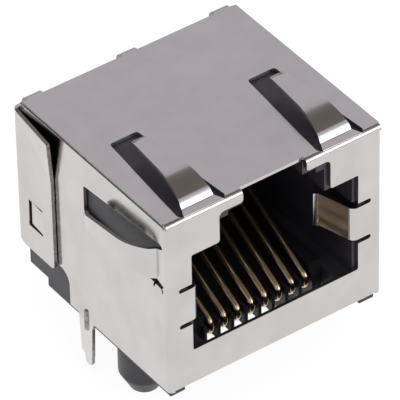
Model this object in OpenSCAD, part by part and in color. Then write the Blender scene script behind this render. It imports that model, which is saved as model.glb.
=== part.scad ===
// Shielded 8-way modular board jack: a folded sheet shield with panel-ground fingers, a moulded
// housing with two board posts, a slide-in contact carrier and eight sprung round wires.
// Drawn in the jack's own frame: x across the width, y = 0 at the front face, z = 0 at the
// shield's lower edge. on_board() then moves it, so that the origin lies on the circuit board's
// surface, midway between the two board posts, with +Z away from the board.

/* [Shield] */
// Width over the side walls
shell_w = 15.88; // [15.7:0.02:16.6]
// Height from the lower edge of the walls to the top face
shell_h = 13.04; // [12.95:0.01:13.6]
// Depth from the front face to the rear cover's outer face
shell_d = 15.5; // [15.4:0.05:16.5]
// Thickness of the plated sheet
sheet_t = 0.25; // [0.2:0.01:0.28]
// Outer radius of the two upright folds beside the front face
corner_r = 0.35; // [0.3:0.01:0.6]
// Outer radius of the fold from the front face to the top
fold_r = 0.35; // [0.33:0.01:0.5]
// Outer radius of the three folds that carry the rear cover
rear_fold_r = 0.7; // [0.5:0.05:0.8]
// Length of each of the three folds that carry the rear cover
bridge_len = 1.15; // [0.6:0.05:2]
// Height of the shield's lower edge above the board
standoff = 0.6; // [0.4:0.05:0.9]
// How far the front face's lower edge stays above the walls' lower edge
front_lift = 0.1; // [0:0.02:0.3]
// How far in from each side the front face's lower edge is full length
front_foot = 0.4; // [0.4:0.05:1.5]

/* [Side walls] */
// Length of the lower rear corner cut of each side wall, from the rear face
wall_cut_len = 5.04; // [4:0.02:5.6]
// Height of the lower rear corner cut of each side wall
wall_cut_h = 2.4; // [1.8:0.05:3]
// Corner radius of that cut
wall_cut_r = 0.9; // [0.5:0.05:1.6]

/* [Rear cover] */
// Length of each side flap, from the rear face
flap_len = 3.9; // [3.3:0.05:4.1]
// Lower edge of the side flaps
flap_low = 2.08; // [1.6:0.02:2.8]
// Distance from the top face down to the side flaps' upper front corner
flap_drop = 0.79; // [0.74:0.01:1.5]
// Outer radius of the two upright folds between the rear cover and its flaps
flap_fold_r = 0.4; // [0.35:0.01:0.6]
// Gap between a flap and the wall that it overlaps
flap_gap = 0.04; // [0.03:0.01:0.1]
// Height of the upper front corner that springs away from the wall
spring_h = 3.25; // [2.5:0.05:4]
// Angle by which that corner springs away
spring_deg = 8.5; // [4:0.5:12]
// Length of the lock window in each flap, along y
lock_w = 1.45; // [1:0.05:1.7]
// Height of the lock window in each flap
lock_h = 2.05; // [1.4:0.05:2.4]
// Distance from the rear face to the lock window
lock_back = 1.35; // [1.1:0.05:1.5]
// Height of the lock window's middle
lock_z = 5.02; // [4:0.02:7]

/* [Plug opening] */
// Width of the plug opening
open_w = 12.3; // [12.1:0.05:12.5]
// Height of the opening's lower edge
open_low = 2.66; // [2.6:0.02:2.8]
// Height of the opening's upper edge beside the latch recess
open_high = 10; // [9.8:0.05:10.3]
// Width of the latch recess
recess_w = 8.15; // [7.9:0.05:8.4]
// Distance from the top face down to the latch recess's upper edge
recess_drop = 0.84; // [0.74:0.02:1.04]
// Width of the notch through the front fold
notch_w = 4.65; // [4.2:0.05:5]
// How far the notch reaches back into the top sheet
notch_back = 0.42; // [0.35:0.01:0.6]

/* [Ground tongues] */
// Height of the ground tongues' middle
tongue_z = 6.25; // [6.1:0.05:6.5]
// Height of each ground tongue
tongue_h = 2.5; // [2:0.05:2.7]
// Width of the slits above and below a tongue
slit_w = 0.3; // [0.2:0.01:0.4]
// Length of the slits into the front face
slit_len = 0.95; // [0.6:0.05:1.05]
// Angle between a tongue and the plug's direction
tongue_lean = 16; // [8:1:18]
// How far back the straight part of a tongue reaches
tongue_back = 2.45; // [1.8:0.05:2.7]

/* [Panel fingers] */
// Distance of each top finger's middle from the middle of the jack
finger_x = 5.08; // [4.6:0.02:5.6]
// Distance from the top face down to each side finger's middle
finger_drop = 3.42; // [2.9:0.02:4.4]
// Width of a finger at its root
finger_root_w = 2.9; // [2.4:0.05:2.95]
// Width of a finger at the foot of its ramp
finger_neck_w = 2.3; // [2:0.05:2.4]
// Width of a finger at its crest
finger_crest_w = 1.75; // [1.5:0.01:1.95]
// Width of a finger at its tip
finger_tip_w = 0.95; // [0.8:0.05:1.45]
// Width of a finger's slot at its front end
slot_front_w = 3.45; // [3.05:0.05:3.6]
// Width of a finger's slot at its rear end
slot_rear_w = 2; // [1.9:0.05:2.4]
// Where a finger's slot ends, from the front face
slot_end = 8.3; // [7.8:0.05:8.6]
// Length of the flat root of a finger, from the front face
finger_flat = 0.8; // [0.6:0.02:1]
// Radius of the bow behind a finger's ramp
bow_r = 4.5; // [4:0.05:4.8]
// Where a finger's tail ends, from the front face
tail_end = 6.42; // [6:0.02:7]
// Slope of a top finger's tail down towards the sheet
top_tail_slope = 2; // [0:0.2:4]
// Slope of a side finger's tail away from the sheet
side_tail_slope = 1; // [0:0.2:2]

/* [Wall lances] */
// Distance of each wall lance's middle from the front face
lance_y = 0.95; // [0.9:0.01:1.2]
// Height of each wall lance's middle
lance_z = 7.65; // [5:0.05:7.8]

/* [Solder tabs] */
// Distance from the rear face to the middle of each solder tab
tab_back = 6.68; // [6.3:0.02:7.4]
// Width of a solder tab
tab_w = 1.3; // [1.2:0.05:1.6]
// Length of a solder tab below the shield's lower edge
tab_len = 3.65; // [3:0.05:4.2]

/* [Housing] */
// Clearance between the shield and the housing
shell_fit = 0.05; // [0.03:0.01:0.08]
// Height of the housing's underside above the shield's lower edge
belly_z = 0.04; // [0:0.02:0.2]
// Width of the two rails that stand on the board
rail_w = 1.1; // [0.6:0.05:1.2]
// Where the rails begin, from the front face
rail_front = 0.4; // [0.35:0.05:1]
// Where the rails end, from the front face
rail_rear = 13.3; // [12:0.05:14]
// How far the cavity lies inside the edge of the plug opening
cavity_inset = 0.25; // [0.2:0.01:0.3]
// Height of the cavity's floor
floor_z = 2.25; // [2.15:0.01:2.35]
// Where the cavity ends, from the front face
cavity_rear = 10.8; // [10.6:0.05:11]
// Depth of the front wall that catches the plug's latch
catch_t = 1.2; // [0.9:0.05:1.6]
// Height of the sill bar below the opening
sill_z = 1.38; // [1:0.02:1.5]
// Depth of the sill bar
sill_t = 0.9; // [0.6:0.05:1.1]
// Depth of the side pockets that the ground tongues bend into
tongue_room = 0.4; // [0.35:0.01:0.6]

/* [Board posts] */
// Distance from the front face to the posts' axis
front_to_posts = 5.95; // [5.6:0.05:6.3]
// Distance between the two posts
post_pitch = 11.43; // [11.3:0.01:11.5]
// Diameter of each post
post_d = 3.2; // [3:0.02:3.25]
// Length of a post below the board's upper face
post_len = 3.8; // [3.2:0.02:4.2]
// Length of a post's tapered end
post_taper = 1.3; // [0.8:0.05:1.5]
// Diameter of a post's tip
post_tip_d = 1.85; // [1.5:0.05:2.2]

/* [Contacts] */
// Distance between neighbouring contacts
pitch = 1.016; // [1:0.002:1.03]
// Diameter of the contact wire
wire_d = 0.46; // [0.4:0.01:0.48]
// Middle of the front loop, from the front face
loop_y = 2.43; // [2.4:0.01:2.5]
// Height of the front loop's middle
loop_z = 1.82; // [1.76:0.01:1.88]
// Radius of the front loop
loop_r = 0.55; // [0.53:0.01:0.58]
// Angle at which the sprung ends rise
rise_deg = 28.6; // [27:0.2:29]
// Where the sprung ends stop, from the front face
spring_end = 10.35; // [9.9:0.05:10.5]
// Distance from the rear face to the rear row of tails
tail_back = 0.91; // [0.85:0.01:1.1]
// Distance between the two rows of tails
row_gap = 2.54; // [2.3:0.02:2.56]
// Length of the tails below the board's upper face
tail_len = 3.1; // [2.8:0.05:3.8]

/* [Contact carrier] */
// Clearance between the carrier and its pocket in the housing
pocket_fit = 0.05; // [0.03:0.01:0.08]
// Clearance around a wire in its groove
groove_fit = 0.03; // [0.02:0.005:0.035]
// Width of the carrier
carrier_w = 9.7; // [9.6:0.02:10]
// Height of the carrier's underside
carrier_low = 0.3; // [0.25:0.01:0.4]
// Height of the carrier's rear block
block_high = 7.9; // [7.7:0.05:8.2]
// Width of the open slots that the loops bend in
slot_w = 0.756; // [0.7:0.002:0.8]
// Height of the shoulders beside the outer contacts
shoulder_z = 2.85; // [2.6:0.02:2.9]
// Width of the comb's slots
comb_slot_w = 0.62; // [0.56:0.01:0.7]

/* [Hidden] */
contact_count = 8;
$fn = 48;
eps = 0.01;
through = 2;

half_w = shell_w / 2;
fold_z = shell_h - fold_r;
inner_top = shell_h - sheet_t;
wall_top = inner_top - 0.03;
edge_roll = 0.13;
wall_rear = shell_d - sheet_t - 0.15;
fold_half = half_w - 0.04;
slit_end = open_w / 2 + slit_len;

wall_cut_y = shell_d - wall_cut_len;
tab_y = shell_d - tab_back;
finger_z = shell_h - finger_drop;
recess_high = shell_h - recess_drop;

flap_out = half_w + flap_gap + sheet_t;
flap_front = shell_d - flap_len;
flap_high = shell_h - flap_drop;
rear_top = shell_h - rear_fold_r;
flap_rear_low = flap_low + 0.33;
spring_low = flap_high - spring_h;
spring_back = shell_d - flap_fold_r - 0.1;
spring_back_z = rear_top - 0.1;
flap_lean = 0.3;
lock_slit = 0.14;
lock_sink = 0.1;
bridge_x = flap_out - rear_fold_r - bridge_len / 2;
lock_y = shell_d - lock_back - lock_w / 2;

ramp_run = 0.28;
ramp_rise = 0.37;
bow_start = 33;
lip_run = 0.5;
lip_drop = 0.2;
crest_y = finger_flat + 2;
slot_front = 0.2;

bead_r = 0.19;

tongue_bend_r = 0.5;
tongue_tip = [-0.3, 0.27];

body_half = half_w - sheet_t - shell_fit;
body_front = sheet_t + shell_fit;
body_rear = shell_d - sheet_t - shell_fit;
body_top = inner_top - shell_fit;
cavity_half = open_w / 2 - cavity_inset;
cavity_high = open_high - cavity_inset;
recess_half = recess_w / 2 - cavity_inset;
recess_roof = recess_high - 3 * cavity_inset;
latch_half = notch_w / 2 + 0.9;
latch_mouth = notch_w / 2 - 0.12;
latch_roof = recess_roof + 0.35;
latch_deep = recess_roof + 0.7;
latch_back = cavity_rear - 0.8;
sill_back = body_front + sill_t;

wire_r = wire_d / 2;
wire_sides = 12;
lap_deg = 3;
lap_step = 0.005;
run_z = loop_z - loop_r;
tail_bend_r = 0.5;

carrier_half = carrier_w / 2;
pocket_half = carrier_half + pocket_fit;
carrier_rear = body_rear - pocket_fit;
block_front = cavity_rear + pocket_fit;
groove_w = wire_d + 2 * groove_fit;
groove_roof = run_z + wire_r + groove_fit;
nose_y = loop_y - 0.08;
nose_top = loop_z + 0.25;
rib_front = loop_y - 0.73;
rib_top = nose_top + 0.12;
rib_low = run_z - 0.52;
rib_low_end = loop_y + 0.5;
shoulder_front = loop_y - 0.43;
comb_front = cavity_rear - 1.4;
comb_low = 4.6;
comb_high = block_high - 0.3;

// Places of the contacts along the row, and of their tails in two staggered rows
function contact_x(i) = (i - (contact_count + 1) / 2) * pitch;
function tail_y(i) = shell_d - tail_back - (i % 2 == 0 ? 0 : row_gap);

// Points on an arc that turns right from heading a0 to heading a1
function right_turn(start, r, a0, a1, n) =
    [for (k = [0:n]) let (a = a0 + (a1 - a0) * k / n)
        start + r * [sin(a0) - sin(a), cos(a) - cos(a0)]];

// Unit vector from a to b, and the mitred normal on the left of a path at its point i
function heading(a, b) = (b - a) / norm(b - a);
function normal_at(path, i) =
    let (last = len(path) - 1,
         d0 = heading(path[max(i - 1, 0)], path[max(i, 1)]),
         d1 = heading(path[min(i, last - 1)], path[min(i + 1, last)]),
         n0 = [-d0[1], d0[0]],
         n1 = [-d1[1], d1[0]])
    (n0 + n1) / (1 + n0 * n1);

// Outline of a strip of thickness t on the right of a path
function strip(path, t) =
    concat(path, [for (i = [len(path) - 1:-1:0]) path[i] - t * normal_at(path, i)]);

// Outline with each corner [x, y, r] rounded to radius r
function rounded(corners, n = 5) =
    [for (i = [0:len(corners) - 1])
        let (c = corners[i],
             before = corners[(i + len(corners) - 1) % len(corners)],
             after = corners[(i + 1) % len(corners)],
             p = [c[0], c[1]],
             u = heading(p, [before[0], before[1]]),
             v = heading(p, [after[0], after[1]]),
             half = acos(u * v) / 2,
             middle = p + heading([0, 0], u + v) * c[2] / sin(half),
             a = atan2((p + u * c[2] / tan(half) - middle)[1], (p + u * c[2] / tan(half) - middle)[0]),
             b = atan2((p + v * c[2] / tan(half) - middle)[1], (p + v * c[2] / tan(half) - middle)[0]),
             turn = (b - a + 540) % 360 - 180)
        each (c[2] == 0 ? [p] : [for (k = [0:n]) middle + c[2] * [cos(a + turn * k / n), sin(a + turn * k / n)]])];

module on_board() {
    translate([0, -front_to_posts, standoff]) children();
}

// A (y, z) outline extruded along x, centred or from x0 to x1
module along_x(x0, x1) {
    translate([x0, 0, 0]) rotate([90, 0, 90]) linear_extrude(x1 - x0) children();
}

// An (x, z) outline extruded along y from y0 to y1
module along_y(y0, y1) {
    translate([0, y1, 0]) rotate([90, 0, 0]) linear_extrude(y1 - y0) children();
}

module both_sides() {
    children();
    mirror([1, 0, 0]) children();
}

// A box given by its lowest and highest corners
module block(low, high) {
    translate(low) cube(high - low);
}

// Plan of a box from y0 to y1 whose corners at y0 are rounded
module rounded_plan(half, y0, y1, r) {
    translate([-half, y0 + r]) square([2 * half, y1 - y0 - r]);
    translate([r - half, y0]) square([2 * (half - r), r + eps]);
    for (x = [r - half, half - r]) {
        translate([x, y0 + r]) circle(r);
    }
}

// Quarter of a bent sheet, between the directions +y and +z turned by a
module bend_section(r, a) {
    rotate(a) intersection() {
        difference() {
            circle(r);
            circle(r - sheet_t);
        }
        square(r);
    }
}

// Front face and both side walls, folded from one strip
module walls() {
    difference() {
        linear_extrude(wall_top) difference() {
            rounded_plan(half_w, 0, wall_rear, corner_r);
            rounded_plan(half_w - sheet_t, sheet_t, shell_d, corner_r - sheet_t);
        }
        block([-half_w, -through, fold_z], [half_w, fold_r, shell_h]);
        along_x(-half_w - through, half_w + through)
            polygon(rounded([
                [wall_cut_y, -through, 0],
                [wall_cut_y, wall_cut_h, wall_cut_r],
                [shell_d, wall_cut_h, 0],
                [shell_d, -through, 0]]));
        block([front_foot - half_w, -through, -through], [half_w - front_foot, through, front_lift]);
        lock_windows();
    }
}

module top_sheet() {
    along_y(fold_r, shell_d - rear_fold_r) polygon([
        [-half_w, shell_h], [-half_w, inner_top + edge_roll], [edge_roll - half_w, inner_top],
        [half_w - edge_roll, inner_top], [half_w, inner_top + edge_roll], [half_w, shell_h]]);
    along_x(-fold_half, fold_half)
        translate([fold_r, fold_z]) bend_section(fold_r, 90);
}

// Rear cover with its two side flaps, carried by three short folds
module rear_cover() {
    difference() {
        translate([0, 0, flap_low]) linear_extrude(rear_top - flap_low) difference() {
            translate([0, shell_d]) mirror([0, 1])
                rounded_plan(flap_out, 0, shell_d - flap_front + flap_lean, flap_fold_r);
            translate([0, shell_d - sheet_t]) mirror([0, 1])
                rounded_plan(flap_out - sheet_t, 0, shell_d, flap_fold_r - sheet_t);
        }
        along_x(-flap_out - through, flap_out + through) {
            flap_trim();
            flap_corner();
        }
        lock_windows();
    }
    both_sides() translate([flap_out - sheet_t, spring_back, spring_back_z])
        rotate(-spring_deg, [0, flap_front - spring_back, spring_low - spring_back_z])
            translate([0, -spring_back, -spring_back_z]) along_x(0, sheet_t) flap_corner();
    lock_lances();
    along_bridges() translate([shell_d - rear_fold_r, rear_top]) bend_section(rear_fold_r, 0);
}

// What is cut away from the flaps: above their sloping edge, at the front foot and at the rear foot
module flap_trim() {
    polygon([
        [flap_front - through, flap_low - eps],
        [flap_front, flap_low - eps],
        [flap_front, spring_low],
        [flap_front - flap_lean, flap_high],
        [spring_back, spring_back_z],
        [shell_d - sheet_t, rear_top],
        [flap_front - through, rear_top + through]]);
    difference() {
        translate([flap_front - eps, flap_low - eps]) square(0.35);
        translate([flap_front + 0.35, flap_low + 0.35]) circle(0.35);
    }
    polygon([
        [shell_d - 0.75, flap_low],
        [shell_d + through, flap_low - through],
        [shell_d + through, flap_rear_low],
        [shell_d, flap_rear_low]]);
}

// Upper front corner of a flap, which springs away from the wall
module flap_corner() {
    polygon([
        [flap_front, spring_low],
        [spring_back, spring_back_z],
        [flap_front - flap_lean, flap_high]]);
}

module along_bridges() {
    for (x = [-bridge_x, 0, bridge_x]) {
        along_x(x - bridge_len / 2, x + bridge_len / 2) children();
    }
}

module lock_windows() {
    along_x(-flap_out - through, flap_out + through)
        translate([lock_y - lock_w / 2, lock_z - lock_h / 2]) square([lock_w, lock_h]);
}

// Lance of each flap, hinged at the window's front edge and pressed in through the wall
module lock_lances() {
    front = lock_y - lock_w / 2;
    rear = lock_y + lock_w / 2 - lock_slit;
    both_sides() translate([0, 0, lock_z - lock_h / 2 + lock_slit])
        linear_extrude(lock_h - 2 * lock_slit) polygon([
            [flap_out, front - eps],
            [flap_out - lock_sink, rear],
            [flap_out - lock_sink - sheet_t, rear],
            [flap_out - sheet_t, front - eps]]);
}

// Plug opening: main field, latch recess and the notch through the fold
module opening_outline() {
    w = open_w / 2;
    r = recess_w / 2;
    n = notch_w / 2;
    polygon(rounded([
        [-w, open_low, 0.12], [w, open_low, 0.12],
        [w, open_high, 0.12], [r, open_high, 0.2],
        [r, recess_high, 0.35], [n, recess_high, 0.2],
        [n, shell_h + through, 0], [-n, shell_h + through, 0],
        [-n, recess_high, 0.2], [-r, recess_high, 0.35],
        [-r, open_high, 0.2], [-w, open_high, 0.12]]));
}

module plug_opening() {
    along_y(-through, notch_back) opening_outline();
    both_sides() for (z = [tongue_z - (tongue_h + slit_w) / 2, tongue_z + (tongue_h + slit_w) / 2]) {
        block([open_w / 2 - eps, -through, z - slit_w / 2], [slit_end - slit_w / 2, sheet_t + eps, z + slit_w / 2]);
        translate([slit_end - slit_w / 2, sheet_t + eps, z]) rotate([90, 0, 0])
            cylinder(h = sheet_t + through, d = slit_w);
    }
}

// Ground tongues, bent back round the opening's upright edges to lie along the plug
module ground_tongues() {
    bend = 90 - tongue_lean;
    bent = [for (k = [0:8]) let (a = bend * k / 8)
        [open_w / 2 - tongue_bend_r * sin(a), tongue_bend_r * (1 - cos(a))]];
    knee = bent[8];
    run = (tongue_back - knee[1]) / cos(tongue_lean);
    heel = knee + run * [-sin(tongue_lean), cos(tongue_lean)];
    path = concat(bent, [heel, heel + tongue_tip]);
    both_sides() translate([0, 0, tongue_z - tongue_h / 2])
        linear_extrude(tongue_h) polygon(strip(path, sheet_t));
}

// Outer surface of a panel finger as (distance back, height above the sheet)
function finger_path(tail_slope) =
    let (ramp_top = [finger_flat + ramp_run, ramp_rise],
         bow = right_turn(ramp_top, bow_r, bow_start, -tail_slope, 12),
         crest = bow[12],
         tail = [tail_end, crest[1] - (tail_end - crest[0]) * tan(tail_slope)],
         lip = tail + [lip_run, -lip_drop])
    concat([[0.12, 0], [finger_flat, 0]], bow, [tail, lip]);

// A panel finger that springs from the fold at the front, lying along y with its outside up
module finger(tail_slope) {
    path = finger_path(tail_slope);
    tip = path[len(path) - 1][0];
    intersection() {
        along_x(-finger_root_w, finger_root_w) polygon(strip(path, sheet_t));
        translate([0, 0, -through]) linear_extrude(3 * through) polygon(rounded([
            [-finger_root_w / 2, 0.12, 0], [finger_root_w / 2, 0.12, 0],
            [finger_neck_w / 2, finger_flat, 0.4], [finger_crest_w / 2, crest_y, 0.8],
            [finger_tip_w / 2, tip, 0.3], [-finger_tip_w / 2, tip, 0.3],
            [-finger_crest_w / 2, crest_y, 0.8], [-finger_neck_w / 2, finger_flat, 0.4]]));
    }
}

module finger_slot() {
    translate([0, 0, -sheet_t - eps]) linear_extrude(sheet_t + through) polygon(rounded([
        [-slot_front_w / 2, slot_front, 0.3], [slot_front_w / 2, slot_front, 0.3],
        [slot_rear_w / 2, slot_end, 0.2], [-slot_rear_w / 2, slot_end, 0.2]]));
}

module at_top_fingers() {
    both_sides() translate([finger_x, 0, shell_h]) children();
}

module at_side_fingers() {
    both_sides() translate([half_w, corner_r - 0.12, finger_z]) rotate([0, 90, 0]) children();
}

// Tail soldered into the board, with a relief notch behind and a rounded tip
module solder_tabs() {
    w = tab_w / 2;
    both_sides() along_x(half_w - sheet_t, half_w) translate([tab_y, 0]) polygon(rounded([
        [-w - 0.2, 0, 0], [w + 0.1, 0, 0], [w - 0.08, -tab_len + 0.85, 0.1],
        [w - 0.4, -tab_len + 0.65, 0.1], [w - 0.48, -tab_len, 0.25], [0.2 - w, -tab_len, 0.3],
        [0.1 - w, -tab_len + 1, 0.4], [-w, -0.55, 0.2]]));
    both_sides() translate([half_w - 0.05, tab_y - 0.1, 0]) {
        translate([0, 0, -0.7]) cylinder(h = 1.3, r = bead_r);
        translate([0, 0, -0.7]) sphere(bead_r);
        translate([0, 0, 0.6]) sphere(bead_r);
    }
}

// Small lances that key the walls to the housing
module wall_lances() {
    both_sides() along_x(half_w - sheet_t - eps, half_w + through) translate([lance_y, lance_z]) intersection() {
        difference() {
            circle(0.5);
            circle(0.38);
        }
        square(1, center = true);
        translate([-0.5, 0]) square(1);
    }
}

module shield() {
    color("#c9c6c4") on_board() {
        difference() {
            union() {
                walls();
                top_sheet();
            }
            plug_opening();
            at_top_fingers() finger_slot();
            at_side_fingers() finger_slot();
            wall_lances();
        }
        rear_cover();
        ground_tongues();
        at_top_fingers() finger(top_tail_slope);
        at_side_fingers() finger(-side_tail_slope);
        solder_tabs();
    }
}

// Cross-section of the plug cavity with its stepped latch recess
module cavity_outline() {
    polygon([
        [-cavity_half, floor_z], [cavity_half, floor_z], [cavity_half, cavity_high],
        [recess_half, cavity_high], [recess_half, recess_roof], [latch_half, recess_roof],
        [latch_half, latch_roof], [latch_mouth, latch_roof], [latch_mouth, body_top + through],
        [-latch_mouth, body_top + through], [-latch_mouth, latch_roof], [-latch_half, latch_roof],
        [-latch_half, recess_roof], [-recess_half, recess_roof], [-recess_half, cavity_high],
        [-cavity_half, cavity_high]]);
}

module plug_cavity() {
    along_y(0, body_front + catch_t) cavity_outline();
    block([-cavity_half, body_front, floor_z], [cavity_half, cavity_rear, cavity_high]);
    block([-recess_half, body_front, floor_z], [recess_half, latch_back, recess_roof]);
    block([-latch_half, body_front + catch_t - eps, floor_z], [latch_half, latch_back, latch_deep]);
    both_sides() block(
        [0, 0, tongue_z - tongue_h / 2 - 0.3],
        [cavity_half + tongue_room, tongue_back + 0.8, tongue_z + tongue_h / 2 + 0.3]);
}

// Pocket that takes the contact carrier, open below and behind
module carrier_pocket() {
    block([-pocket_half, sill_back, -standoff - eps], [pocket_half, shell_d, floor_z + eps]);
    block([-pocket_half, cavity_rear - eps, -standoff - eps], [pocket_half, shell_d, block_high + pocket_fit]);
    block([-pocket_half, 0, sill_z], [pocket_half, sill_back + eps, floor_z + eps]);
}

module post() {
    shank = post_len - post_taper;
    translate([0, 0, -shank]) cylinder(h = shank, d = post_d);
    translate([0, 0, -post_len]) cylinder(h = post_taper, d1 = post_tip_d, d2 = post_d);
}

// Pocket in the housing's side that the flap's lance reaches into
module lance_pocket() {
    block(
        [flap_out - lock_sink - sheet_t - 0.1, lock_y - lock_w / 2, lock_z - lock_h / 2],
        [half_w, lock_y + lock_w / 2, lock_z + lock_h / 2]);
}

module housing() {
    color("#2b2a2e") on_board() {
        difference() {
            union() {
                block([-body_half, body_front, belly_z], [body_half, body_rear, body_top]);
                both_sides() {
                    block([body_half - rail_w, rail_front, -standoff], [body_half, rail_rear, belly_z]);
                    translate([post_pitch / 2, front_to_posts, -standoff - eps])
                        cylinder(h = standoff + belly_z + 2 * eps, d = post_d);
                }
            }
            plug_cavity();
            carrier_pocket();
            both_sides() lance_pocket();
            along_x(-half_w, half_w) polygon([
                [body_rear - rear_fold_r, body_top],
                [body_rear - rear_fold_r, body_top + through],
                [body_rear + through, body_top + through],
                [body_rear + through, body_top - rear_fold_r],
                [body_rear, body_top - rear_fold_r]]);
        }
        both_sides() translate([post_pitch / 2, front_to_posts, -standoff]) post();
    }
}

// Groove under the carrier that holds one wire
module wire_groove(i) {
    translate([contact_x(i), 0, 0]) block(
        [-groove_w / 2, nose_y - eps, carrier_low - eps],
        [groove_w / 2, tail_y(i) + groove_w / 2, groove_roof]);
}

module contact_carrier() {
    rib_w = pitch - slot_w;
    comb_rib_w = pitch - comb_slot_w;
    outer_rib = (contact_count / 2) * pitch - rib_w / 2;
    outer_tooth = (contact_count / 2) * pitch - comb_rib_w / 2;
    color("#232227") on_board() difference() {
        union() {
            block([-carrier_half, nose_y, carrier_low], [carrier_half, block_front + eps, nose_top]);
            block([-carrier_half, block_front, carrier_low], [carrier_half, carrier_rear, block_high]);
            for (k = [1 - contact_count / 2:contact_count / 2 - 1]) {
                block([k * pitch - rib_w / 2, rib_front, rib_low], [k * pitch + rib_w / 2, nose_y + eps, rib_top]);
                block(
                    [k * pitch - comb_rib_w / 2, comb_front, comb_low],
                    [k * pitch + comb_rib_w / 2, block_front + eps, comb_high]);
            }
            both_sides() {
                block([outer_rib, shoulder_front, rib_low], [carrier_half, comb_front, shoulder_z]);
                block([outer_rib, rib_front, rib_low], [outer_rib + rib_w, shoulder_front + eps, rib_top]);
                block([outer_tooth, comb_front, comb_low], [carrier_half, block_front + eps, comb_high]);
                block([outer_tooth, comb_front - eps, nose_top - eps], [carrier_half, block_front + eps, comb_low + eps]);
            }
        }
        block([-carrier_w, 0, 0], [carrier_w, rib_low_end, rib_low]);
        for (i = [1:contact_count]) {
            wire_groove(i);
        }
    }
}

// Straight piece of wire in the y-z plane, from (y, z) along heading a for a length
module wire(from, a, length) {
    translate([0, from[0], from[1]]) rotate([a - 90, 0, 0]) 
        cylinder(h = length, r = wire_r, $fn = wire_sides);
}

// Bend in the y-z plane about a centre, from angle a through sweep degrees, lapped into its neighbours
module wire_bend(centre, r, a, sweep) {
    translate([0, centre[0], centre[1]]) rotate([a - lap_deg, 0, 0]) rotate([90, 0, 90])
        rotate_extrude(angle = sweep + 2 * lap_deg) translate([r, 0]) circle(wire_r - lap_step, $fn = wire_sides);
}

// One contact: tail, bend, run under the carrier, front loop and rising sprung end
module contact(i) {
    tail_top = run_z - tail_bend_r;
    tail_bottom = -standoff - tail_len;
    bend_y = tail_y(i) - tail_bend_r;
    rise_start = [loop_y - loop_r * sin(rise_deg), loop_z + loop_r * cos(rise_deg)];
    color("#d9b25f") on_board() translate([contact_x(i), 0, 0]) {
        wire([tail_y(i), tail_bottom], 90, tail_top - tail_bottom);
        wire_bend([bend_y, tail_top], tail_bend_r, 0, 90);
        wire([loop_y, run_z], 0, bend_y - loop_y);
        wire_bend([loop_y, loop_z], loop_r, 90 + rise_deg, 180 - rise_deg);
        wire(rise_start, rise_deg, (spring_end - rise_start[0]) / cos(rise_deg));
    }
}

shield();
housing();
contact_carrier();
for (i = [1:contact_count]) {
    contact(i);
}
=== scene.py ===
"""Dresses the shielded modular board jack: bright nickel sheet, black moulded housing and carrier,
gold-plated spring wires, and a plain light studio around it. Lengths are metres in the jack's own frame."""

import math

import bmesh
import bpy
from bpy.props import FloatProperty, FloatVectorProperty, IntProperty, PointerProperty
from mathutils import Matrix, Vector
from mathutils.bvhtree import BVHTree
from mathutils.geometry import intersect_point_line


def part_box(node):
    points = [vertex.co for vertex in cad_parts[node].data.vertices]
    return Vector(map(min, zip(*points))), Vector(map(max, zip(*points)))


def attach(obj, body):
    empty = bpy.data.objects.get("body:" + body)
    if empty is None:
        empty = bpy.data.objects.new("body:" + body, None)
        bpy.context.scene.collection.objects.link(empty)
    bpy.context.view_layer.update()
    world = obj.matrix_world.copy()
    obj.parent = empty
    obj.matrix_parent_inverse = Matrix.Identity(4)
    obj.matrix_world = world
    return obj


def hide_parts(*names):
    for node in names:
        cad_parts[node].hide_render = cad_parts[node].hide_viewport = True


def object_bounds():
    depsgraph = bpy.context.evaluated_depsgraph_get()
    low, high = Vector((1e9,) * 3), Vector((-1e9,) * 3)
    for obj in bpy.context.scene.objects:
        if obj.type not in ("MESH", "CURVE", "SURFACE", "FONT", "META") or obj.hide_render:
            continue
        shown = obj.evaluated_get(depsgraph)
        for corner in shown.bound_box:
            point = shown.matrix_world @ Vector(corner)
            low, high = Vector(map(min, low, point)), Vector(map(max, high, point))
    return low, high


bl_info = {
    "name": "Modular Board Jack",
    "version": (1, 0, 0),
    "blender": (4, 5, 0),
    "location": "3D View > Sidebar > Board Jack",
    "description": "Builds the plated shield, mouldings and spring wires of a modular board jack",
    "category": "Object",
}

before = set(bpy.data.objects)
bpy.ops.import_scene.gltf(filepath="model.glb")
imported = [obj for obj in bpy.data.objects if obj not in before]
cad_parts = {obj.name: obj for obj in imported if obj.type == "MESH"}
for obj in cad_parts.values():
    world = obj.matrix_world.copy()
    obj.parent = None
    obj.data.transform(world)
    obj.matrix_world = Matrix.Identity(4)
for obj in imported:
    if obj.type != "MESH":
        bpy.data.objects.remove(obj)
CAD_BOX = [list(corner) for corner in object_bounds()]
MM = 0.001
SAME_SURFACE = math.cos(math.radians(40))
CRISP_ANGLE = math.radians(35)
CONTACTS = sorted(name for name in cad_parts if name.startswith("contact_") and name != "contact_carrier")


def hex_colour(text):
    """sRGB hex to the linear colour that shaders take."""
    parts = [int(text[i:i + 2], 16) / 255 for i in (1, 3, 5)]
    return tuple(c / 12.92 if c <= 0.04045 else ((c + 0.055) / 1.055) ** 2.4 for c in parts)


def add(tree, kind, inputs=None, **settings):
    """Adds one node with its settings; inputs maps a socket to a value or to the socket that feeds it."""
    node = tree.nodes.new(kind)
    for name, value in settings.items():
        setattr(node, name, value)
    for key, value in (inputs or {}).items():
        if isinstance(value, bpy.types.NodeSocket):
            tree.links.new(value, node.inputs[key])
        else:
            node.inputs[key].default_value = value
    return node


def new_material(name):
    """An empty node material with its output, ready for a shader."""
    material = bpy.data.materials.new(name)
    material.use_nodes = True
    material.node_tree.nodes.clear()
    return material, material.node_tree, add(material.node_tree, "ShaderNodeOutputMaterial")


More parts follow.
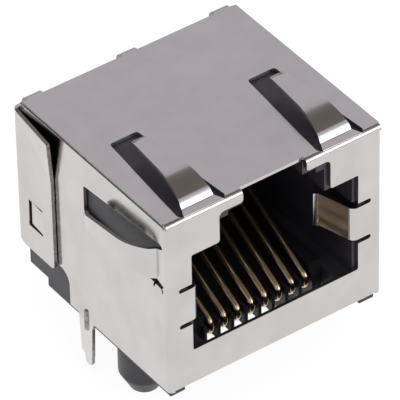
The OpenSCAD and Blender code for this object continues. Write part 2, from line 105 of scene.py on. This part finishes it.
def grain(tree, scale, detail=2.0, stretch=(1, 1, 1)):
    """Noise on object coordinates; scale counts features per metre, stretch draws them out along an axis."""
    place = add(tree, "ShaderNodeTexCoord").outputs["Object"]
    mapped = add(tree, "ShaderNodeMapping", {"Vector": place, "Scale": stretch})
    return add(tree, "ShaderNodeTexNoise", {"Vector": mapped.outputs["Vector"], "Scale": scale, "Detail": detail})


def between(tree, factor, low, high, start=0.0, stop=1.0):
    """Maps a factor from start..stop to low..high."""
    node = add(tree, "ShaderNodeMapRange", {
        "Value": factor, "From Min": start, "From Max": stop, "To Min": low, "To Max": high})
    return node.outputs["Result"]


def bright_nickel(colours):
    """Bright nickel electroplate on rolled brass strip: nearly a mirror, a little milky, with faint
    lines along the strip from rolling and slow waves from the folding tool. The solder tabs are
    dipped in tin, which is whiter and duller."""
    material, tree, output = new_material("bright nickel electroplate")
    height = add(tree, "ShaderNodeSeparateXYZ", {
        "Vector": add(tree, "ShaderNodeTexCoord").outputs["Object"]}).outputs["Z"]
    dipped = between(tree, height, 1.0, 0.0, 0.1 * MM, 0.7 * MM)
    cloud = grain(tree, 1 / (2.5 * MM), 3.0).outputs["Fac"]
    rolled = grain(tree, 1 / (0.12 * MM), 2.0, (1.0, 0.06, 1.0)).outputs["Fac"]
    waves = grain(tree, 1 / (4.0 * MM), 1.0).outputs["Fac"]
    plated = add(tree, "ShaderNodeMix", {
        "Factor": between(tree, cloud, 0.0, 1.0, 0.3, 0.7),
        "A": (*colours.nickel, 1), "B": (*colours.nickel_worn, 1)}, data_type="RGBA")
    tinned = add(tree, "ShaderNodeMix", {
        "Factor": dipped, "A": plated.outputs[2], "B": (*colours.tin, 1)}, data_type="RGBA")
    dull = add(tree, "ShaderNodeMath", {
        0: between(tree, cloud, 0.13, 0.2, 0.3, 0.7),
        1: between(tree, dipped, 0.0, 0.16)}, operation="ADD")
    wavy = add(tree, "ShaderNodeBump", {"Height": waves, "Strength": 0.25, "Distance": 0.02 * MM})
    lined = add(tree, "ShaderNodeBump", {
        "Height": rolled, "Strength": 0.12, "Distance": 0.002 * MM, "Normal": wavy.outputs["Normal"]})
    shader = add(tree, "ShaderNodeBsdfPrincipled", {
        "Base Color": tinned.outputs[2], "Metallic": 1.0, "Roughness": dull.outputs[0],
        "Normal": lined.outputs["Normal"]})
    tree.links.new(shader.outputs[0], output.inputs[0])
    return material


def cut_edge_with_painted_shade(colours):
    """The cut edge of pre-plated strip: half bright burnished land, half torn grey fracture, so it
    reads as a duller, warmer line round every blanked outline. Both tones are also held darker than the plate as
    painted shade, standing in for the shadow in the seams between the sheets."""
    material, tree, output = new_material("cut strip edge with painted shade")
    torn = grain(tree, 1 / (0.06 * MM), 3.0, (1.0, 1.0, 0.3)).outputs["Fac"]
    tone = add(tree, "ShaderNodeMix", {
        "Factor": between(tree, torn, 0.0, 1.0, 0.35, 0.65),
        "A": (*colours.cut_edge_and_shade, 1), "B": (*colours.torn_edge_and_shade, 1)}, data_type="RGBA")
    bumpy = add(tree, "ShaderNodeBump", {"Height": torn, "Strength": 0.4, "Distance": 0.01 * MM})
    shader = add(tree, "ShaderNodeBsdfPrincipled", {
        "Base Color": tone.outputs[2], "Metallic": 1.0, "Roughness": 0.42, "Normal": bumpy.outputs["Normal"]})
    tree.links.new(shader.outputs[0], output.inputs[0])
    return material


def black_moulding(name, colour, colour_worn, spark_mm):
    """Glass-filled polyester moulded in a spark-eroded tool: near black, with a fine matt grain that
    turns grey where it catches the light at a low angle."""
    material, tree, output = new_material(name)
    pits = grain(tree, 1 / (spark_mm * MM), 4.0).outputs["Fac"]
    flow = grain(tree, 1 / (1.8 * MM), 2.0, (1.0, 0.4, 1.0)).outputs["Fac"]
    tone = add(tree, "ShaderNodeMix", {
        "Factor": between(tree, flow, 0.0, 1.0, 0.35, 0.7),
        "A": (*colour, 1), "B": (*colour_worn, 1)}, data_type="RGBA")
    bumpy = add(tree, "ShaderNodeBump", {"Height": pits, "Strength": 0.35, "Distance": 0.012 * MM})
    shader = add(tree, "ShaderNodeBsdfPrincipled", {
        "Base Color": tone.outputs[2], "Roughness": between(tree, pits, 0.36, 0.5, 0.3, 0.7),
        "Normal": bumpy.outputs["Normal"], "IOR": 1.5})
    tree.links.new(shader.outputs[0], output.inputs[0])
    return material


def gold_wire(colours):
    """Phosphor-bronze spring wire with a thin gold flash: pale warm metal with drawing lines along it."""
    material, tree, output = new_material("gold-flashed spring wire")
    drawn = grain(tree, 1 / (0.05 * MM), 2.0, (1.0, 0.08, 0.08)).outputs["Fac"]
    tone = add(tree, "ShaderNodeMix", {
        "Factor": between(tree, drawn, 0.0, 1.0, 0.3, 0.7),
        "A": (*colours.gold, 1), "B": (*colours.gold_deep, 1)}, data_type="RGBA")
    shader = add(tree, "ShaderNodeBsdfPrincipled", {
        "Base Color": tone.outputs[2], "Metallic": 1.0, "Roughness": between(tree, drawn, 0.13, 0.22, 0.3, 0.7)})
    tree.links.new(shader.outputs[0], output.inputs[0])
    return material


def merged_copy(node, name):
    """A welded copy of a CAD node's mesh with its flat faces made whole."""
    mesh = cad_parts[node].data.copy()
    mesh.name = name
    mesh.materials.clear()
    work = bmesh.new()
    work.from_mesh(mesh)
    bmesh.ops.remove_doubles(work, verts=work.verts, dist=0.0004 * MM)
    bmesh.ops.dissolve_limit(work, angle_limit=math.radians(0.6), verts=work.verts, edges=work.edges)
    work.to_mesh(mesh)
    work.free()
    piece = bpy.data.objects.new(name, mesh)
    bpy.context.scene.collection.objects.link(piece)
    return piece


def ease_edges(piece, width):
    """Rounds every crisp edge a little, as tooling and plating leave it. Where the rounding would
    leave the drawn surface, the short edges round that place stay sharp."""
    drawn = piece.data
    surface = BVHTree.FromPolygons([v.co[:] for v in drawn.vertices], [p.vertices[:] for p in drawn.polygons])
    kept_sharp = set()
    for longest, reach in ((1 * MM, 8), (1 * MM, 8), (3 * MM, 16), (3 * MM, 16), (30 * MM, 30), (30 * MM, 60)):
        piece.data = drawn.copy()
        weigh_edges(piece.data, width, kept_sharp)
        bevel = piece.modifiers.new("eased edges", "BEVEL")
        bevel.width = width
        bevel.segments = 2
        bevel.limit_method = "WEIGHT"
        bevel.use_clamp_overlap = False
        bevel.loop_slide = False
        bake_modifiers(piece)
        nearest = (surface.find_nearest(vertex.co) for vertex in piece.data.vertices)
        stray = [hit[0] for hit in nearest if hit[3] > 0.45 * width]
        if not stray:
            break
        kept_sharp |= edges_near(drawn, stray, reach * width, longest)
    else:
        piece.data = drawn
    piece.data.shade_smooth()
    settle_normals(piece.data)


def weigh_edges(mesh, width, kept_sharp):
    """Bevel weights for the crisp edges. Edges that run on into each other share one weight, which
    is what the smallest face along them leaves room for."""
    work = bmesh.new()
    work.from_mesh(mesh)
    weights = work.edges.layers.float.new("bevel_weight_edge")
    crisp = {edge for edge in work.edges if len(edge.link_faces) == 2
             and edge.calc_face_angle(0) > CRISP_ANGLE and edge.index not in kept_sharp}
    waiting = set(crisp)
    while waiting:
        run, grown = set(), [waiting.pop()]
        while grown:
            edge = grown.pop()
            run.add(edge)
            following = {other for vert in edge.verts for other in vert.link_edges
                         if other in waiting and runs_on(edge, other, vert)}
            waiting -= following
            grown += following
        share = min(1.0, min(room_beside(edge, crisp) for edge in run) / width)
        for edge in run:
            edge[weights] = share if share > 0.3 else 0.0
    work.to_mesh(mesh)
    work.free()


def runs_on(edge, other, vert):
    """Whether two edges go on through their shared vertex without a corner."""
    before = (edge.other_vert(vert).co - vert.co).normalized()
    after = (other.other_vert(vert).co - vert.co).normalized()
    return before.dot(after) < -0.8


def room_beside(edge, crisp):
    """How far a rounding may reach before it meets what bounds the faces beside the edge."""
    beside = (other for face in edge.link_faces for vert in edge.verts for other in vert.link_edges
              if other is not edge and face in other.link_faces and not runs_on(edge, other, vert))
    return min((other.calc_length() * (0.4 if other in crisp else 0.8) for other in beside), default=1.0)


def edges_near(mesh, points, reach, longest):
    """Indices of the edges up to a length that pass within reach of any of the points."""
    found = set()
    for edge in mesh.edges:
        start, end = (mesh.vertices[i].co for i in edge.vertices)
        if (end - start).length > longest:
            continue
        for point in points:
            foot, along = intersect_point_line(point, start, end)
            foot = start.lerp(end, min(1.0, max(0.0, along)))
            if (foot - point).length < reach:
                found.add(edge.index)
                break
    return found


def settle_normals(mesh):
    """Corner normals that follow the broad faces, so flats stay flat and only the eased edges turn."""
    beside = [[] for _ in mesh.vertices]
    for face in mesh.polygons:
        for vertex in face.vertices:
            beside[vertex].append(face)
    normals = []
    for face in mesh.polygons:
        for vertex in face.vertices:
            near = (other for other in beside[vertex] if other.normal.dot(face.normal) > SAME_SURFACE)
            normals.append(sum((other.normal * other.area for other in near), Vector()).normalized())
    mesh.normals_split_custom_set(normals)


def bake_modifiers(piece):
    """Replaces a piece's mesh by its evaluated one and takes its modifiers off."""
    graph = bpy.context.evaluated_depsgraph_get()
    graph.update()
    mesh = bpy.data.meshes.new_from_object(piece.evaluated_get(graph))
    mesh.name = piece.name
    piece.modifiers.clear()
    piece.data = mesh


def mark_cut_faces(piece, thickness):
    """Gives slot 1 to the faces across the sheet's thickness: behind a skin face the sheet ends
    after its thickness, behind a cut face it goes on much further."""
    mesh = piece.data
    solid = BVHTree.FromPolygons([v.co[:] for v in mesh.vertices], [p.vertices[:] for p in mesh.polygons])
    for polygon in mesh.polygons:
        inward = -polygon.normal
        hit = solid.ray_cast(polygon.center + inward * 0.002 * MM, inward, 5 * MM)
        polygon.material_index = 0 if hit[0] is None or hit[3] < 1.35 * thickness else 1


def finish_piece(piece, node):
    """Hangs a finished piece under the root body's empty and hides the CAD node it stands in for."""
    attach(piece, "root")
    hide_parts(node)


class JackSizes(bpy.types.PropertyGroup):
    plate: FloatProperty(name="Sheet", description="Thickness of the shield's strip", default=0.25 * MM, unit="LENGTH")
    plate_edge: FloatProperty(
        name="Sheet edge", description="Rounding of the strip's edges", default=0.035 * MM, unit="LENGTH")
    moulding_edge: FloatProperty(
        name="Moulding edge", description="Rounding of the mouldings' edges", default=0.06 * MM, unit="LENGTH")
    loop_radius: FloatProperty(
        name="Loop radius", description="Centreline radius of the wires' front loop", default=0.55 * MM, unit="LENGTH")
    tail_radius: FloatProperty(
        name="Tail radius", description="Centreline radius of the bend into the tail", default=0.5 * MM, unit="LENGTH")
    rise: FloatProperty(
        name="Rise", description="Angle of the sprung ends", default=math.radians(28.6), subtype="ANGLE")
    wire_sides: IntProperty(name="Wire sides", description="Facets round each wire", default=24, min=8)


class JackColours(bpy.types.PropertyGroup):
    nickel: FloatVectorProperty(
        name="Nickel", description="Fresh nickel plate", subtype="COLOR", default=hex_colour("#CDC9C6"))
    nickel_worn: FloatVectorProperty(
        name="Nickel, clouded", description="Clouded nickel plate", subtype="COLOR", default=hex_colour("#C6C2BF"))
    tin: FloatVectorProperty(
        name="Tin", description="Tin on the solder tabs", subtype="COLOR", default=hex_colour("#DAD9D8"))
    # Both cut-edge colours are partly painted shade: they are kept darker so the cut faces stand in for the shadowed
    # seams between the sheets.
    cut_edge_and_shade: FloatVectorProperty(
        name="Cut edge", description="Burnished part of a cut edge, darkened as painted seam shade", subtype="COLOR", default=hex_colour("#AFACA9"))
    torn_edge_and_shade: FloatVectorProperty(
        name="Cut edge, torn", description="Torn part of a cut edge, darkened as painted seam shade", subtype="COLOR", default=hex_colour("#77736F"))
    housing: FloatVectorProperty(
        name="Housing", description="Housing moulding", subtype="COLOR", default=hex_colour("#2E2C33"))
    housing_worn: FloatVectorProperty(
        name="Housing, grey", description="Housing where glass fibre shows", subtype="COLOR",
        default=hex_colour("#413F47"))
    carrier: FloatVectorProperty(
        name="Carrier", description="Contact carrier moulding", subtype="COLOR", default=hex_colour("#18181B"))
    carrier_worn: FloatVectorProperty(
        name="Carrier, grey", description="Carrier where glass fibre shows", subtype="COLOR",
        default=hex_colour("#232226"))
    gold: FloatVectorProperty(
        name="Gold", description="Gold flash on the wires", subtype="COLOR", default=hex_colour("#E2D2AE"))
    gold_deep: FloatVectorProperty(
        name="Gold, worn", description="Gold flash where the bronze shows", subtype="COLOR",
        default=hex_colour("#B79F78"))


class StudioSettings(bpy.types.PropertyGroup):
    azimuth: FloatProperty(
        name="Azimuth", description="Camera azimuth, 0 looking along +Y", default=math.radians(-35.11), subtype="ANGLE")
    elevation: FloatProperty(
        name="Elevation", description="Camera height above the horizon", default=math.radians(39.6), subtype="ANGLE")
    roll: FloatProperty(name="Roll", description="Camera roll", default=math.radians(-1.274), subtype="ANGLE")
    distance: FloatProperty(name="Distance", description="Camera to aim", default=319.9 * MM, unit="LENGTH")
    lens: FloatProperty(name="Lens", description="Focal length in millimetres", default=475.5)
    aim: FloatVectorProperty(
        name="Aim", description="Point the camera turns about", default=(0, 1.05 * MM, 6.6 * MM), subtype="XYZ")
    offset: FloatVectorProperty(
        name="Offset", description="Camera shift right and up", default=(-0.442 * MM, 0.434 * MM), size=2)
    ceiling: FloatVectorProperty(
        name="Ceiling", description="Dim ceiling that the metal mirrors", subtype="COLOR",
        default=hex_colour("#726E67"))
    wall: FloatVectorProperty(
        name="Wall", description="Pale wall that the metal mirrors", subtype="COLOR", default=hex_colour("#D3CFD8"))


class OBJECT_OT_jack_shield(bpy.types.Operator):
    """Plate the folded shield in bright nickel with duller cut edges"""
    bl_idname = "object.jack_shield"
    bl_label = "Shield"

    def execute(self, context):
        sizes, colours = context.scene.jack_sizes, context.scene.jack_colours
        piece = merged_copy("shield", "plated_shield")
        piece.data.materials.append(bright_nickel(colours))
        # The cut faces that get slot 1 carry the painted seam shade.
        piece.data.materials.append(cut_edge_with_painted_shade(colours))
        mark_cut_faces(piece, sizes.plate)
        ease_edges(piece, sizes.plate_edge)
        finish_piece(piece, "shield")
        return {"FINISHED"}


class OBJECT_OT_jack_mouldings(bpy.types.Operator):
    """Finish the housing and the contact carrier as black mouldings with softened edges"""
    bl_idname = "object.jack_mouldings"
    bl_label = "Mouldings"

    def execute(self, context):
        sizes, colours = context.scene.jack_sizes, context.scene.jack_colours
        housing = merged_copy("housing", "moulded_housing")
        housing.data.materials.append(
            black_moulding("spark-grained polyester, housing", colours.housing, colours.housing_worn, 0.09))
        ease_edges(housing, sizes.moulding_edge)
        finish_piece(housing, "housing")
        carrier = merged_copy("contact_carrier", "moulded_carrier")
        carrier.data.materials.append(
            black_moulding("spark-grained polyester, carrier", colours.carrier, colours.carrier_worn, 0.07))
        ease_edges(carrier, 0.5 * sizes.moulding_edge)
        finish_piece(carrier, "contact_carrier")
        return {"FINISHED"}


def wire_tree():
    """Geometry nodes that sweep a round section along a wire's centreline."""
    tree = bpy.data.node_groups.new("sprung wire", "GeometryNodeTree")
    for name, kind in (("Centreline", "NodeSocketGeometry"), ("Wire Diameter", "NodeSocketFloat"),
                       ("Sides", "NodeSocketInt"), ("Finish", "NodeSocketMaterial")):
        tree.interface.new_socket(name, in_out="INPUT", socket_type=kind)
    tree.interface.new_socket("Wire", in_out="OUTPUT", socket_type="NodeSocketGeometry")
    given = add(tree, "NodeGroupInput").outputs
    radius = add(tree, "ShaderNodeMath", {0: given["Wire Diameter"], 1: 0.5}, operation="MULTIPLY")
    section = add(tree, "GeometryNodeCurvePrimitiveCircle", {
        "Resolution": given["Sides"], "Radius": radius.outputs[0]}, mode="RADIUS")
    swept = add(tree, "GeometryNodeCurveToMesh", {
        "Curve": given["Centreline"], "Profile Curve": section.outputs["Curve"], "Fill Caps": True})
    smooth = add(tree, "GeometryNodeSetShadeSmooth", {"Geometry": swept.outputs["Mesh"]})
    plated = add(tree, "GeometryNodeSetMaterial", {"Geometry": smooth.outputs["Geometry"], "Material": given["Finish"]})
    real = add(tree, "GeometryNodeRealizeInstances", {"Geometry": plated.outputs["Geometry"]})
    add(tree, "NodeGroupOutput", {"Wire": real.outputs["Geometry"]})
    return tree


def arc(centre, radius, start, stop, steps):
    """Points of an arc in the y-z plane, angles in radians from +Y towards +Z."""
    return [Vector((0, centre[0] + radius * math.cos(a), centre[1] + radius * math.sin(a)))
            for a in (start + (stop - start) * k / steps for k in range(steps + 1))]


def wire_centreline(node, sizes):
    """Centreline of one wire from its tail's end to its sprung end, inside its CAD node's box."""
    low, high = (Vector(corner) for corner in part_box(node))
    r = (high.x - low.x) / 2
    loop, bend, rise = sizes.loop_radius, sizes.tail_radius, sizes.rise
    tail_y = high.y - r
    loop_y = low.y + r + loop
    spring_y, spring_z = spring_end(node, r, rise)
    start = loop_y - loop * math.sin(rise)
    loop_z = spring_z - (spring_y - start) * math.tan(rise) - loop * math.cos(rise)
    run_z = loop_z - loop
    points = [Vector((0, tail_y, low.z)), Vector((0, tail_y, low.z + 0.4 * r)), Vector((0, tail_y, low.z + r))]
    points += arc((tail_y - bend, run_z - bend), bend, 0, math.pi / 2, 10)
    points += arc((loop_y, loop_z), loop, -math.pi / 2, -3 * math.pi / 2 + rise, 24)
    along = Vector((0, math.cos(rise), math.sin(rise)))
    end = Vector((0, spring_y, spring_z))
    points += [end - along * r, end - along * 0.4 * r, end]
    for point in points:
        point.x = (low.x + high.x) / 2
    return points, r


def spring_end(node, r, rise):
    """Centre of the cut that ends a wire's sprung end, from the highest corner of its mesh."""
    top = max((v.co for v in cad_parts[node].data.vertices), key=lambda co: co.z)
    return top.y + r * math.sin(rise), top.z - r * math.cos(rise)


def wire_curve(name, points, ends):
    """A curve object through the points, drawn thinner at its two ends."""
    data = bpy.data.curves.new(name, "CURVE")
    data.dimensions = "3D"
    spline = data.splines.new("POLY")
    spline.points.add(len(points) - 1)
    for i, point in enumerate(points):
        spline.points[i].co = (*point, 1)
        spline.points[i].radius = ends.get(min(i, len(points) - 1 - i), 1.0)
    curve = bpy.data.objects.new(name, data)
    bpy.context.scene.collection.objects.link(curve)
    return curve


class OBJECT_OT_jack_contacts(bpy.types.Operator):
    """Sweep the gold-flashed spring wires along their centrelines"""
    bl_idname = "object.jack_contacts"
    bl_label = "Spring wires"

    def execute(self, context):
        sizes, colours = context.scene.jack_sizes, context.scene.jack_colours
        tree = wire_tree()
        finish = gold_wire(colours)
        sockets = {item.name: item.identifier for item in tree.interface.items_tree if item.in_out == "INPUT"}
        if not CONTACTS:
            raise RuntimeError("the frame has no contacts")
        for node in CONTACTS:
            points, r = wire_centreline(node, sizes)
            curve = wire_curve(node + "_line", points, {0: 0.55, 1: 0.85})
            modifier = curve.modifiers.new("wire", "NODES")
            modifier.node_group = tree
            modifier[sockets["Wire Diameter"]] = 2 * r
            modifier[sockets["Sides"]] = sizes.wire_sides
            modifier[sockets["Finish"]] = finish
            graph = context.evaluated_depsgraph_get()
            graph.update()
            mesh = bpy.data.meshes.new_from_object(curve.evaluated_get(graph))
            mesh.name = node + "_wire"
            bpy.data.objects.remove(curve)
            piece = bpy.data.objects.new(mesh.name, mesh)
            context.scene.collection.objects.link(piece)
            mesh.set_sharp_from_angle(angle=math.radians(60))
            finish_piece(piece, node)
        return {"FINISHED"}


def studio_world(studio):
    """White to the camera. To everything else a pale ring of wall under a dim ceiling, which is what
    gives bright metal its dark lines."""
    world = bpy.data.worlds.new("light tent")
    world.use_nodes = True
    tree = world.node_tree
    tree.nodes.clear()
    path = add(tree, "ShaderNodeLightPath")
    z = add(tree, "ShaderNodeSeparateXYZ", {
        "Vector": add(tree, "ShaderNodeTexCoord").outputs["Generated"]}).outputs["Z"]
    ramp = add(tree, "ShaderNodeValToRGB", {"Fac": z})
    stops = ramp.color_ramp.elements
    stops[0].position, stops[0].color = 0.08, (*studio.ceiling, 1)
    stops[1].position, stops[1].color = 1.0, (*studio.ceiling, 1)
    for place, colour in ((0.30, studio.wall), (0.79, studio.wall), (0.83, studio.ceiling)):
        stop = stops.new(place)
        stop.color = (*colour, 1)
    seen = add(tree, "ShaderNodeMix", {
        "Factor": path.outputs["Is Camera Ray"], "A": ramp.outputs["Color"], "B": (1, 1, 1, 1)}, data_type="RGBA")
    background = add(tree, "ShaderNodeBackground", {"Color": seen.outputs[2], "Strength": 1.0})
    add(tree, "ShaderNodeOutputWorld", {"Surface": background.outputs[0]})
    return world


def studio_floor():
    """Matt white table; most of its white shows to the camera and to mirrors as it is, and the rest
    carries the jack's shadow."""
    material, tree, output = new_material("white table")
    path = add(tree, "ShaderNodeLightPath").outputs
    seen = add(tree, "ShaderNodeMath", {0: path["Is Camera Ray"], 1: path["Is Glossy Ray"]}, operation="MAXIMUM")
    seen = add(tree, "ShaderNodeMath", {0: seen.outputs[0], 1: path["Is Transmission Ray"]}, operation="MAXIMUM")
    share = add(tree, "ShaderNodeMath", {0: seen.outputs[0], 1: 0.82}, operation="MULTIPLY")
    matt = add(tree, "ShaderNodeBsdfDiffuse", {"Color": (0.9, 0.9, 0.9, 1)})
    white = add(tree, "ShaderNodeEmission", {"Color": (1, 1, 1, 1), "Strength": 1.13})
    mixed = add(tree, "ShaderNodeMixShader", {0: share.outputs[0], 1: matt.outputs[0], 2: white.outputs[0]})
    tree.links.new(mixed.outputs[0], output.inputs[0])
    mesh = bpy.data.meshes.new("table")
    z = CAD_BOX[0][2] - 0.05 * MM
    mesh.from_pydata([(-2, -2, z), (2, -2, z), (2, 2, z), (-2, 2, z)], [], [(0, 1, 2, 3)])
    mesh.materials.append(material)
    table = bpy.data.objects.new("table", mesh)
    bpy.context.scene.collection.objects.link(table)


def lamp(name, azimuth, elevation, distance, size, watts, mirrored):
    """A square soft lamp aimed at the jack; azimuth 0 stands in front of it, positive to its right."""
    data = bpy.data.lights.new(name, "AREA")
    data.shape = "RECTANGLE"
    data.size, data.size_y = size
    data.energy = watts
    a, e = math.radians(azimuth), math.radians(elevation)
    towards = Vector((math.sin(a) * math.cos(e), -math.cos(a) * math.cos(e), math.sin(e)))
    light = bpy.data.objects.new(name, data)
    light.location = Vector((0, 1.0 * MM, 6 * MM)) + towards * distance
    light.rotation_euler = towards.to_track_quat("Z", "Y").to_euler()
    light.visible_glossy = mirrored
    light.visible_camera = False
    bpy.context.scene.collection.objects.link(light)


class SCENE_OT_jack_studio(bpy.types.Operator):
    """Set the table, the light tent, the lamps and the camera"""
    bl_idname = "scene.jack_studio"
    bl_label = "Studio"

    def execute(self, context):
        studio = context.scene.jack_studio
        context.scene.world = studio_world(studio)
        studio_floor()
        lamp("front strip", 29, 22, 0.30, (0.15, 0.13), 0.16, True)
        lamp("overhead", -20, 68, 0.35, (0.25, 0.25), 0.30, False)
        a, e, roll = studio.azimuth, studio.elevation, studio.roll
        back = Vector((math.sin(a) * math.cos(e), -math.cos(a) * math.cos(e), math.sin(e)))
        level = Vector((math.cos(a), math.sin(a), 0))
        rise = back.cross(level)
        right = level * math.cos(roll) + rise * math.sin(roll)
        up = rise * math.cos(roll) - level * math.sin(roll)
        place = Vector(studio.aim) + back * studio.distance + right * studio.offset[0] + up * studio.offset[1]
        data = bpy.data.cameras.new("camera")
        data.lens = studio.lens
        data.sensor_width = 36
        data.clip_start, data.clip_end = 0.01, 10
        camera = bpy.data.objects.new("camera", data)
        camera.matrix_world = Matrix((
            (right.x, up.x, back.x, place.x), (right.y, up.y, back.y, place.y),
            (right.z, up.z, back.z, place.z), (0, 0, 0, 1)))
        context.scene.collection.objects.link(camera)
        context.scene.camera = camera
        context.scene.view_settings.view_transform = "Standard"
        return {"FINISHED"}


class VIEW3D_PT_board_jack(bpy.types.Panel):
    """Sizes, colours and steps of the board jack"""
    bl_label = "Board Jack"
    bl_idname = "VIEW3D_PT_board_jack"
    bl_space_type = "VIEW_3D"
    bl_region_type = "UI"
    bl_category = "Board Jack"

    def draw(self, context):
        for group in (context.scene.jack_sizes, context.scene.jack_colours, context.scene.jack_studio):
            box = self.layout.box()
            for name in group.__annotations__:
                box.prop(group, name)
        for step in STEPS:
            self.layout.operator(step.bl_idname)


STEPS = (OBJECT_OT_jack_shield, OBJECT_OT_jack_mouldings, OBJECT_OT_jack_contacts, SCENE_OT_jack_studio)
CLASSES = (JackSizes, JackColours, StudioSettings, *STEPS, VIEW3D_PT_board_jack)


def register():
    for kind in CLASSES:
        bpy.utils.register_class(kind)
    bpy.types.Scene.jack_sizes = PointerProperty(type=JackSizes)
    bpy.types.Scene.jack_colours = PointerProperty(type=JackColours)
    bpy.types.Scene.jack_studio = PointerProperty(type=StudioSettings)


def unregister():
    del bpy.types.Scene.jack_sizes
    del bpy.types.Scene.jack_colours
    del bpy.types.Scene.jack_studio
    for kind in reversed(CLASSES):
        bpy.utils.unregister_class(kind)


def main():
    register()
    bpy.ops.object.jack_shield()
    bpy.ops.object.jack_mouldings()
    bpy.ops.object.jack_contacts()
    bpy.ops.scene.jack_studio()


if __name__ == "__main__":
    main()
